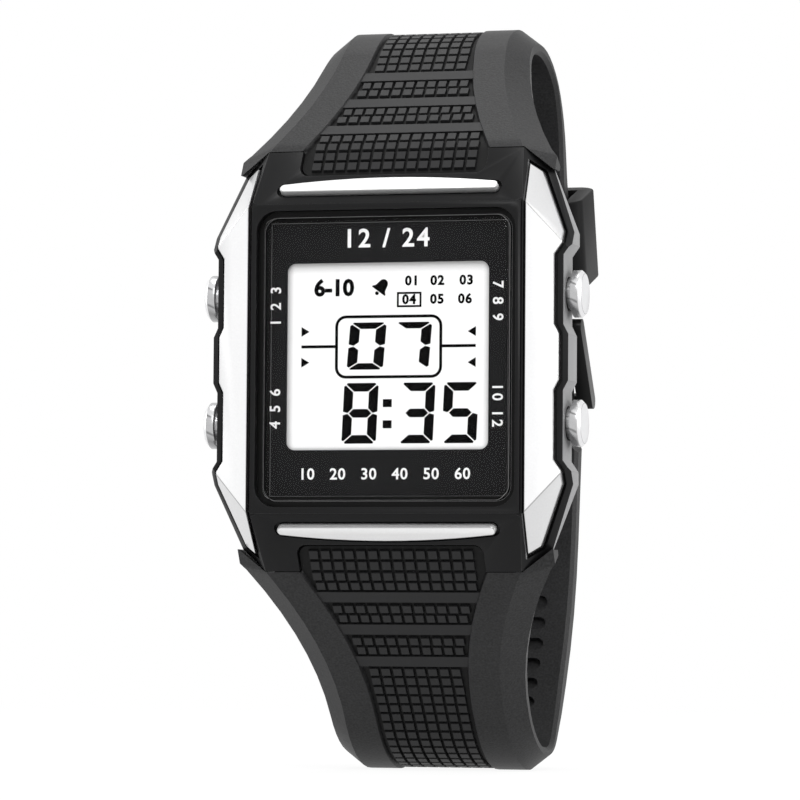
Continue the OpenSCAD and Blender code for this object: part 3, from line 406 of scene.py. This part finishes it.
def figure(digit, left, low, wide, high, upright, lying, slant):
    """The bars of a figure as outlines, with cut corners and a thin gap at each joint."""
    gap = 0.09
    cut = 0.35
    notch = 0.1
    tip_share = 0.55
    half = high / 2
    corner_x = upright * cut / (upright + lying)
    corner_z = lying * cut / (upright + lying)

    def end_bar(outer, inner):
        step = math.copysign(1, inner - outer)
        corner = outer + step * corner_z
        return [(cut, outer), (wide - cut, outer), (wide - corner_x - gap, corner),
                (wide - upright - gap, inner), (upright + gap, inner), (corner_x + gap, corner)]

    def side_bar(outer, inner, end, joint):
        inwards = math.copysign(1, inner - outer)
        step = math.copysign(1, joint - end)
        return [(outer, end + step * cut), (outer, joint - step * (gap + notch)),
                ((outer + inner) / 2, joint - step * gap / 2), (inner, joint - step * (gap + lying / 2)),
                (inner, end + step * (lying + gap)),
                (outer + inwards * corner_x, end + step * (corner_z + gap))]

    middle_bar = [(upright * tip_share + gap, half), (upright + gap, half + lying / 2),
                  (wide - upright - gap, half + lying / 2), (wide - upright * tip_share - gap, half),
                  (wide - upright - gap, half - lying / 2), (upright + gap, half - lying / 2)]
    outlines = [end_bar(high, high - lying), side_bar(0, upright, high, half),
                side_bar(wide, wide - upright, high, half), middle_bar, side_bar(0, upright, 0, half),
                side_bar(wide, wide - upright, 0, half), end_bar(0, lying)]
    return [[(left + x + rise * slant, low + rise) for x, rise in outline]
            for outline, on in zip(outlines, figure_bars[digit]) if on == "1"]


def strip(left, low, right, top):
    return [(left, low), (right, low), (right, top), (left, top)]


def quarter(x, z, radius, start):
    """The points of a quarter circle round a place, from the start angle in degrees on."""
    steps = 6
    turns = [math.radians(start + 90 / steps * k) for k in range(steps + 1)]
    return [(x + radius * math.cos(t), z + radius * math.sin(t)) for t in turns]


def round_frame(left, low, right, top, radius, line):
    """The corners and the straights of a rounded frame, each as an outline."""
    outlines = [strip(left + radius, low, right - radius, low + line),
                strip(left + radius, top - line, right - radius, top),
                strip(left, low + radius, left + line, top - radius),
                strip(right - line, low + radius, right, top - radius)]
    for x, z, start in ((right - radius, top - radius, 0), (left + radius, top - radius, 90),
                        (left + radius, low + radius, 180), (right - radius, low + radius, 270)):
        outlines.append(quarter(x, z, radius, start) + quarter(x, z, radius - line, start)[::-1])
    return outlines


def bell(x, low, size):
    """A small alarm bell with its clapper, leaning to the right."""
    half = [(0.0, 1.0), (0.14, 0.97), (0.26, 0.84), (0.31, 0.6), (0.36, 0.38), (0.5, 0.24), (0.5, 0.16)]
    dome = half + [(-a, b) for a, b in reversed(half[1:])]
    clapper_r = 0.12
    clapper_z = 0.01
    turns = [k * math.pi / 4 for k in range(8)]
    clapper = [(clapper_r * math.cos(t), clapper_z + clapper_r * math.sin(t)) for t in turns]
    lean = math.radians(-36)
    return [[(x + size * (a * math.cos(lean) - b * math.sin(lean)),
              low + size * (a * math.sin(lean) + b * math.cos(lean))) for a, b in outline]
            for outline in (dome, clapper)]


def flat_print(name, outlines, back, material):
    """A thin print with one closed plate for each outline, a hair off what it is printed on."""
    off = ink_t / 10
    shape = bmesh.new()
    for outline in outlines:
        front = [shape.verts.new(place(x, back - ink_t, rise)) for x, rise in outline]
        rear = [shape.verts.new(place(x, back - off, rise)) for x, rise in outline]
        shape.faces.new(front)
        shape.faces.new(rear[::-1])
        for k in range(len(outline)):
            after = (k + 1) % len(outline)
            shape.faces.new((front[after], front[k], rear[k], rear[after]))
    bmesh.ops.recalc_face_normals(shape, faces=shape.faces)
    mesh = bpy.data.meshes.new(name)
    shape.to_mesh(mesh)
    shape.free()
    mesh.materials.append(material)
    piece = bpy.data.objects.new(name, mesh)
    scene.collection.objects.link(piece)
    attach(piece, frame["nodes"]["display_panel"]["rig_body"])


def numbers(name, lines, back, material, weight=0.025):
    """Printed numbers. A line has a text, height, middle, turn in degrees and letter space."""
    capital_share = 0.7
    middle_t = ink_t * 0.55
    upright = Matrix.Rotation(math.radians(90), 4, "X")
    joined = bmesh.new()
    for text, high, x, rise, turned_by, space in lines:
        curve = bpy.data.curves.new(name, "FONT")
        curve.body = text
        curve.size = high * MM / capital_share
        curve.align_x = "CENTER"
        curve.align_y = "CENTER"
        curve.space_character = space
        curve.extrude = ink_t * MM / 2
        curve.offset = high * MM * weight
        curve.resolution_u = 3
        writer = bpy.data.objects.new(name, curve)
        scene.collection.objects.link(writer)
        bpy.context.view_layer.update()
        mesh = bpy.data.meshes.new_from_object(writer)
        facing = upright @ Matrix.Rotation(math.radians(turned_by), 4, "Z")
        mesh.transform(Matrix.Translation(place(x, back - middle_t, rise)) @ facing)
        joined.from_mesh(mesh)
        bpy.data.objects.remove(writer)
    mesh = bpy.data.meshes.new(name)
    joined.to_mesh(mesh)
    joined.free()
    mesh.materials.clear()
    mesh.materials.append(material)
    piece = bpy.data.objects.new(name, mesh)
    scene.collection.objects.link(piece)
    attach(piece, frame["nodes"]["display_panel"]["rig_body"])


# The time below, and the seconds above it.
bars = []
for digit, left in (("8", -5.1), ("3", 0.99), ("5", 5.63)):
    bars += figure(digit, left, low=-8.78, wide=3.7, high=6.3, upright=1.0, lying=0.88, slant=0.045)
colon_left, colon_right, dot_high = -0.66, 0.29, 0.82
for low in (-7.2, -5.0):
    bars.append(strip(colon_left, low, colon_right, low + dot_high))
for digit, left in (("0", -4.6), ("7", 0.28)):
    bars += figure(digit, left, low=-1.08, wide=3.9, high=4.9, upright=1.08, lying=0.66, slant=0.08)

# A rounded frame round the seconds, a line to each side of it, and two pairs of arrows.
line = 0.3
field_left, field_right = -9.5, 9.23
bars += round_frame(left=-5.85, low=-2.0, right=5.65, top=4.58, radius=1.15, line=line)
bars += [strip(field_left, 1.2, -5.75, 1.2 + line), strip(5.55, 1.15, field_right, 1.15 + line)]
arrow_half, arrow_long = 0.5, 0.85
right_drop = 0.12
for rise in (2.92, -0.3):
    at_right = rise - right_drop
    bars += [[(field_left, rise - arrow_half), (field_left + arrow_long, rise),
              (field_left, rise + arrow_half)],
             [(field_right, at_right - arrow_half), (field_right, at_right + arrow_half),
              (field_right - arrow_long, at_right)]]

# A bell, and a box of fine lines round the fourth of the day numbers.
fine_line = 0.2
box_left, box_low, box_right, box_top = 0.77, 5.37, 3.4, 6.95
bars += [strip(box_left, box_low, box_right, box_low + fine_line),
         strip(box_left, box_top - fine_line, box_right, box_top),
         strip(box_left, box_low + fine_line, box_left + fine_line, box_top - fine_line),
         strip(box_right - fine_line, box_low + fine_line, box_right, box_top - fine_line)]
bars += bell(x=-1.4, low=6.85, size=1.7)
flat_print("display_figures", bars, display_y, ink)

day_high, day_space = 0.95, 1.15
day_places = ((2.37, 8.08), (5.09, 8.08), (8.2, 8.08), (2.08, 6.14), (5.07, 6.14), (8.05, 6.14))
days = [("6-10", 1.65, -6.02, 7.4, 0, 1.0)]
for k, (x, rise) in enumerate(day_places):
    days.append((f"{k + 1:02d}", day_high, x, rise, 0, day_space))
numbers("display_days", days, display_y, ink, weight=0.055)

# Border and window
# The border is printed on a thin sheet behind the window. The window is a clear plate with
# a bevelled edge, glued in a groove of the cover.
border_black = finish("dial_print", (0.0045, 0.0045, 0.005), 0.35, grain=0.5, depth=0.0005, specular=0.13)
clad(border_black, "dial_print", "dial_mask")
print_white = finish("white_print", (0.8, 0.8, 0.8), 0.5, grain=0.3, depth=0.0005, specular=0.2)
mask_y = (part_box("dial_mask")[0].y - rim_y) / MM

# A printed edge rounds the opening's corners, and makes it narrower at the right and below.
corner_r = 0.9
cut_right, cut_low = 11.0, -9.65
behind_face = 0.1
edges = [strip(opening_right, cut_low, cut_right, opening_high),
         strip(opening_left, cut_low, opening_right, opening_low)]
for x, start in ((opening_right, 0), (opening_left, 90), (opening_left, 180), (opening_right, 270)):
    inwards = -math.copysign(corner_r, x)
    z, down = (opening_high, -corner_r) if start < 180 else (opening_low, corner_r)
    edges.append([(x, z)] + quarter(x + inwards, z + down, corner_r, start)[::-1])
flat_print("opening_edge", edges, mask_y + behind_face, border_black)
numbers("border_numbers", [("12 / 24", 1.9, -0.33, 12.5, 0, 1.2),
                           ("10   20   30   40   50   60", 1.15, -0.38, -12.0, 0, 1.08),
                           ("1 2 3", 1.1, -12.17, 5.6, 90, 1.3), ("4 5 6", 1.1, -12.17, -5.1, 90, 1.3),
                           ("7 8 9", 1.1, 11.6, 5.9, -90, 1.3), ("10 12", 1.1, 11.6, -4.9, -90, 1.3)],
        mask_y, print_white)

glass = bpy.data.materials.new("window")
glass.use_nodes = True
glass.node_tree.nodes.clear()
flow = Flow(glass.node_tree)
clear = flow.node("ShaderNodeBsdfTransparent", {}, {"Color": (0.985, 0.985, 0.985, 1)})
shine = flow.node("ShaderNodeBsdfGlossy", {}, {"Color": (0.13, 0.13, 0.13, 1), "Roughness": 0.03})
outer_side = 1 - flow.node("ShaderNodeNewGeometry", {}, {}, "Backfacing")
facing = flow.node("ShaderNodeFresnel", {}, {"IOR": 1.45}) * outer_side
both = flow.node("ShaderNodeMixShader", {}, {0: facing, 1: clear, 2: shine})
flow.node("ShaderNodeOutputMaterial", {}, {"Surface": both})
# The rounding at the foot of the window's bevel is a light grey: a painted highlight line.
window_painted_highlight = finish("window_painted_highlight", (0.2, 0.2, 0.2), 0.2, grain=0.3, depth=0.0005, specular=0.5)
window = rounded_copy("crystal", glass, 0.08, edge_material=window_painted_highlight)

# Only the edge round the foot of the window's bevel is rounded, and it carries the painted highlight.
crystal_low, crystal_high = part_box("crystal")
highlight_weight = window.data.attributes["bevel_weight_edge"].data
close_by = 0.05 * MM
for edge in window.data.edges:
    depths = [window.data.vertices[v].co.y for v in edge.vertices]
    if min(depths) < crystal_low.y + close_by or max(depths) > crystal_high.y - close_by:
        highlight_weight[edge.index].value = 0.0
        edge.use_edge_sharp = True

# Bright trims
# The side panels and the two arched bars are moulded, plated with a satin silver coat and
# pressed into pockets of the cover.
def paint_light_by_slope(material, stops):
    """Paints light, shade and reflection into a plated finish by how far its surface tips up or down, from
    -1 to 1.
    """
    tree = material.node_tree
    skin = tree.nodes["Principled BSDF"]
    flow = Flow(tree)
    normal = flow.node("ShaderNodeNewGeometry", {}, {}, "Normal")
    tipped = flow.node("ShaderNodeSeparateXYZ", {}, {0: normal}, "Z")
    ramp = tree.nodes.new("ShaderNodeValToRGB")
    for position, tone in stops[1:-1]:
        ramp.color_ramp.elements.new(position)
    for stop, (position, tone) in zip(ramp.color_ramp.elements, stops):
        stop.position = position
        stop.color = (tone, tone, tone, 1)
    tree.links.new((tipped * 0.5 + 0.5).socket, ramp.inputs[0])
    old = skin.inputs["Base Color"].links[0].from_socket
    painted_light_tone = flow.node("ShaderNodeMix", {"data_type": "RGBA", "blend_type": "MULTIPLY"},
                       {0: 1.0, 6: Flow(tree, old), 7: Flow(tree, ramp.outputs[0])}, 2)
    tree.links.new(painted_light_tone.socket, skin.inputs["Base Color"])


silver = finish("bright_trim", (0.93, 0.93, 0.935), 0.3, metallic=1.0, grain=0.2, depth=0.001, shade=0.03)
# Level facets are painted brightest, and facets that tip up or down get painted shade.
paint_light_by_slope(silver, [(0.0, 0.7), (0.4, 0.8), (0.47, 1.0), (0.53, 1.0), (0.6, 0.78), (1.0, 0.7)])
# The rounded edges of the plated parts are a darker silver: a painted shade line along each edge.
silver_painted_edge_shade = finish("silver_painted_edge_shade", (0.45, 0.45, 0.45), 0.35, metallic=1.0, grain=0.2, depth=0.001,
                     shade=0.03)
for trim in ("left_side_trim", "right_side_trim"):
    rounded_copy(trim, silver, 0.08, edge_material=silver_painted_edge_shade)
bar_silver = finish("accent_silver", (0.95, 0.95, 0.95), 0.35, metallic=0.6, grain=0.2, depth=0.001,
                    shade=0.03)
# Faces that tip down get painted shade.
paint_light_by_slope(bar_silver, [(0.0, 0.5), (0.5, 0.95), (1.0, 1.0)])
for trim in ("top_accent_bar", "bottom_accent_bar"):
    rounded_copy(trim, bar_silver, 0.12, edge_material=silver_painted_edge_shade)

# Buttons
# Turned and plated: a round cap on a collar and a stem, with a spring under it, a seal in
# its groove and a clip on its inner end.
chrome = finish("button_chrome", (0.9, 0.9, 0.91), 0.24, metallic=1.0, grain=0.3, depth=0.001, shade=0.04)
# Bands of painted reflection and shade run round the cap, set by how far each part tips up or down.
paint_light_by_slope(chrome, [(0.0, 0.45), (0.15, 0.3), (0.28, 0.5), (0.32, 0.2), (0.36, 0.55), (0.64, 0.6),
                        (0.68, 0.2), (0.72, 0.8), (0.9, 0.7), (1.0, 0.4)])
chrome_face = finish("chrome_face", (0.8, 0.8, 0.81), 0.3, metallic=1.0, grain=0.3, depth=0.001, shade=0.04)
for side in ("upper_left", "lower_left", "upper_right", "lower_right"):
    button = rounded_copy(side + "_button", chrome, 0.08, edge_material=silver_painted_edge_shade)

    # The flat end of the cap has none of the painted bands, so it is paler than its turned side.
    button.data.materials.append(chrome_face)
    for face in button.data.polygons:
        if abs(face.normal.x) > side_slope:
            face.material_index = 2
    clad(steel, "steel", side + "_clip")
    clad(rubber, "black_rubber", side + "_seal")
    coil = rounded_copy(side + "_spring", steel, 0.02, angle=100)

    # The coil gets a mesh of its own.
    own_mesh(coil)

# Strap
# Two halves moulded in black resin, each on a spring bar in the case. Two smooth rails stand
# over a sunk panel, which is filled with fields of small square blocks between smooth bands.
strap_resin = finish("strap_resin", (0.011, 0.011, 0.0115), 0.5, grain=0.22, depth=0.022, shade=0.9,
                     specular=0.25)
# The darker black of the panel's floor between the blocks is painted shade.
strap_painted_groove_shade = finish("strap_painted_groove_shade", (0.005, 0.005, 0.005), 0.6, grain=0.14, depth=0.004, specular=0.15)
clad(steel, "steel", "upper_spring_bar", "lower_spring_bar")

# The outer surface of each half, as in the CAD source: where it leaves the case, its heading
# in degrees, and the radius and turn of each leg, or its length where it runs straight.
upper_start = (4, 22, 58.61)
upper_legs = ((6, -13.61), (14.895, 0), (11.439, -45), (14.937, -40), (16.901, -33))
lower_start = (4, -22, -58.61)
lower_legs = ((6, 10.61), (20.832, 0), (13.992, 48), (7.817, 45), (40.516, 37))
before_case = 2.8
panel_half = 5.25
panel_half_at_case = 10.0
panel_taper = 20
panel_sink = 0.5


def along(start, legs, s):
    """Place and heading on the outer surface at a distance from the case."""
    back, rise, heading = start
    if s < 0:
        before = math.radians(heading)
        return back + s * math.cos(before), rise + s * math.sin(before), heading
    for size, turned_by in legs:
        length = size * abs(math.radians(turned_by)) if turned_by else size
        share = min(s / length, 1)
        if turned_by:
            side = math.copysign(size, turned_by)
            begin, end = math.radians(heading), math.radians(heading + turned_by * share)
            back += side * (math.sin(end) - math.sin(begin))
            rise += side * (math.cos(begin) - math.cos(end))
            heading += turned_by * share
        else:
            back += size * share * math.cos(math.radians(heading))
            rise += size * share * math.sin(math.radians(heading))
        s -= length
        if s <= 0:
            break
    return back, rise, heading


def panel_width(s):
    """Half width of the sunk panel at a distance from the case."""
    left_to_taper = 1 - min(max(s / panel_taper, 0), 1)
    return panel_half + (panel_half_at_case - panel_half) * left_to_taper ** 2


# The blocks: fields of rows and columns, each with the distance from the case to its first row.
fields = ((4, 14, -1.85), (2, 12, 5.25), (2, 10, 9.75), (25, 8, 14.1))
panel_end = 46
row_pitch = 1.3
widest_column = 1.28
block_gap = 0.2
block_height = 0.35
block_top = 0.6
field_margin = 0.25
root = 0.05
block_resin = finish("block_resin", (0.009, 0.009, 0.0095), 0.5, grain=0.14, depth=0.004, specular=0.25)

# A field of blocks sits on a line along the middle of the panel's floor. Its rows follow
# the line, and its columns share the width that the panel has there.
field = bpy.data.node_groups.new("block_field", "GeometryNodeTree")
socket_ids = {}
for name, kind in (("Line", "Geometry"), ("Rows", "Int"), ("Columns", "Int"), ("First row", "Float"),
                   ("Row pitch", "Float"), ("Widest column", "Float"), ("Gap", "Float"),
                   ("Height", "Float"), ("Margin", "Float"), ("Side", "Float"), ("Material", "Material")):
    socket = field.interface.new_socket(name=name, in_out="INPUT", socket_type="NodeSocket" + kind)
    socket_ids[name] = socket.identifier
field.interface.new_socket(name="Blocks", in_out="OUTPUT", socket_type="NodeSocketGeometry")
tree = Flow(field)
given = tree.node("NodeGroupInput", {}, {}, "Line")
rows, columns = given.output("Rows"), given.output("Columns")
guide = tree.node("GeometryNodeMeshToCurve", {}, {"Mesh": given})
index = tree.node("GeometryNodeInputIndex", {}, {})
row = tree.sum("FLOOR", index / columns)
column = index - row * columns
width_there = tree.node("GeometryNodeInputNamedAttribute", {"data_type": "FLOAT"}, {"Name": "half_width"})
found = tree.node("GeometryNodeSampleCurve", {"mode": "LENGTH", "data_type": "FLOAT"},
                  {"Curves": guide, "Value": width_there,
                   "Length": given.output("First row") + row * given.output("Row pitch")}, "Value")
room_for_one = (found - given.output("Margin")) * 2 / columns
pitch = tree.sum("MINIMUM", room_for_one, given.output("Widest column"))
sideways = tree.node("ShaderNodeCombineXYZ", {}, {"X": (column - (columns - 1) / 2) * pitch})
spot = tree.node("ShaderNodeVectorMath", {"operation": "ADD"}, {0: found.output("Position"), 1: sideways})
spots = tree.node("GeometryNodePoints", {}, {"Count": rows * columns, "Position": spot})
across = tree.node("ShaderNodeCombineXYZ", {}, {"X": given.output("Side")})
outwards = tree.node("ShaderNodeVectorMath", {"operation": "CROSS_PRODUCT"},
                     {0: across, 1: found.output("Tangent")})
upright = tree.node("FunctionNodeAxesToRotation", {"primary_axis": "Z", "secondary_axis": "X"},
                    {"Primary Axis": outwards, "Secondary Axis": (1, 0, 0)})
gap = given.output("Gap")
size = tree.node("ShaderNodeCombineXYZ", {}, {"X": pitch - gap, "Y": given.output("Row pitch") - gap,
                                              "Z": given.output("Height")})
stub = tree.node("GeometryNodeMeshCone", {"fill_type": "NGON"},
                 {"Vertices": 4, "Radius Top": block_top, "Radius Bottom": math.sqrt(0.5), "Depth": 1.0})
block = tree.node("GeometryNodeTransform", {}, {"Geometry": stub, "Rotation": (0, 0, math.radians(45))})
placed = tree.node("GeometryNodeInstanceOnPoints", {}, {"Points": spots, "Instance": block,
                                                        "Rotation": upright, "Scale": size})
real = tree.node("GeometryNodeRealizeInstances", {}, {"Geometry": placed})
dressed = tree.node("GeometryNodeSetMaterial", {}, {"Geometry": real, "Material": given.output("Material")})
tree.node("NodeGroupOutput", {}, {"Blocks": dressed})


def stations(start, legs, side):
    """Every half mm along a half: place on its surface, outward direction, panel's half width."""
    step = 0.5
    found = []
    for k in range(int((panel_end + before_case) / step) + 1):
        s = k * step - before_case
        back, rise, heading = along(start, legs, s)
        heading = math.radians(heading)
        outward = Vector((0, -math.sin(heading), math.cos(heading))) * side
        found.append((place(0, back, rise), outward, panel_width(s)))
    return found


def panel_blocks(name, start, legs, side):
    """All fields of one strap half, joined in one piece."""
    depth = (panel_sink + root) * MM
    points = [surface - outward * depth for surface, outward, width in stations(start, legs, side)]
    widths = [width * MM for surface, outward, width in stations(start, legs, side)]
    line_mesh = bpy.data.meshes.new(name + "_line")
    line_mesh.from_pydata(points, [(k, k + 1) for k in range(len(points) - 1)], [])
    line_mesh.attributes.new("half_width", "FLOAT", "POINT").data.foreach_set("value", widths)
    maker = bpy.data.objects.new(name + "_line", line_mesh)
    scene.collection.objects.link(maker)
    grower = maker.modifiers.new("blocks", "NODES")
    grower.node_group = field
    joined = bmesh.new()
    for row_count, column_count, first in fields:
        chosen = {"Rows": row_count, "Columns": column_count, "First row": (first + before_case) * MM,
                  "Row pitch": row_pitch * MM, "Widest column": widest_column * MM, "Gap": block_gap * MM,
                  "Height": (block_height + root) * MM, "Margin": field_margin * MM,
                  "Side": float(side), "Material": block_resin}
        for socket_name, value in chosen.items():
            grower[socket_ids[socket_name]] = value
        maker.update_tag()
        bpy.context.view_layer.update()
        seen_now = maker.evaluated_get(bpy.context.evaluated_depsgraph_get())
        grown = bpy.data.meshes.new_from_object(seen_now)
        joined.from_mesh(grown)
    mesh = bpy.data.meshes.new(name)
    joined.to_mesh(mesh)
    joined.free()
    mesh.materials.clear()
    mesh.materials.append(block_resin)
    bpy.data.objects.remove(maker)
    piece = bpy.data.objects.new(name, mesh)
    scene.collection.objects.link(piece)
    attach(piece, frame["nodes"]["upper_strap"]["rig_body"])


def strap_half(node, start, legs, side):
    """A dressed half, whose panel floor between the blocks is painted darker, as shade."""
    piece = rounded_copy(node, strap_resin, 0.08)

    # Broad faces keep their own direction, so that the bends shade evenly.
    evened = piece.modifiers.new("evened", "WEIGHTED_NORMAL")
    evened.keep_sharp = True
    mesh = piece.data
    mesh.materials.append(strap_painted_groove_shade)
    mesh.materials.append(block_resin)
    middle_share = 0.5
    facing_out = 0.7
    floor_from = panel_sink - 0.12
    band_from = 0.08
    line_of_places = stations(start, legs, side)
    for face in mesh.polygons:
        middle = Vector((0, face.center.y, face.center.z))
        nearest = min(line_of_places, key=lambda station: (station[0] - middle).length)
        surface, outward, width = nearest
        depth = (surface - middle).dot(outward) / MM
        inner = abs(face.center.x) < middle_share * width * MM
        on_panel = inner and face.normal.dot(outward) > facing_out
        if nearest is line_of_places[-1] or not on_panel or depth > 2 * panel_sink:
            continue
        # Faces deep in the panel, between the blocks, get the painted shade.
        if depth > floor_from:
            face.material_index = 2
        elif depth > band_from:
            face.material_index = 3


strap_half("upper_strap", upper_start, upper_legs, 1)
strap_half("lower_strap", lower_start, lower_legs, -1)

# A thin dark strip of strap resin under each corner of the cover closes the seam there: a dark sheet put
# where the seam shows only shade.
seam_strip_inner, seam_strip_outer = 9.8, 13.0
seam_strip_low, seam_strip_top = -22.3, -21.8
seam_strip_back = 4.8
flat_print("seam_shade_strips", [strip(-seam_strip_outer, seam_strip_low, -seam_strip_inner, seam_strip_top),
                                strip(seam_strip_inner, seam_strip_low, seam_strip_outer, seam_strip_top)], seam_strip_back, strap_resin)
panel_blocks("upper_blocks", upper_start, upper_legs, 1)
panel_blocks("lower_blocks", lower_start, lower_legs, -1)

# Keeper and buckle
# The keeper is a loop of strap resin that slides on both halves. The buckle's frame and
# tongue are hard black plastic, and turn on a steel bar.
keeper_resin = finish("keeper_resin", (0.004, 0.004, 0.0042), 0.5, grain=0.14, depth=0.006, specular=0.09)
rounded_copy("keeper", keeper_resin, 0.2)
buckle_black = finish("buckle_black", (0.004, 0.004, 0.0042), 0.35, grain=0.2, depth=0.002, specular=0.16)
for node in ("buckle_frame", "buckle_tongue"):
    rounded_copy(node, buckle_black, 0.12)
clad(steel, "steel", "buckle_bar")
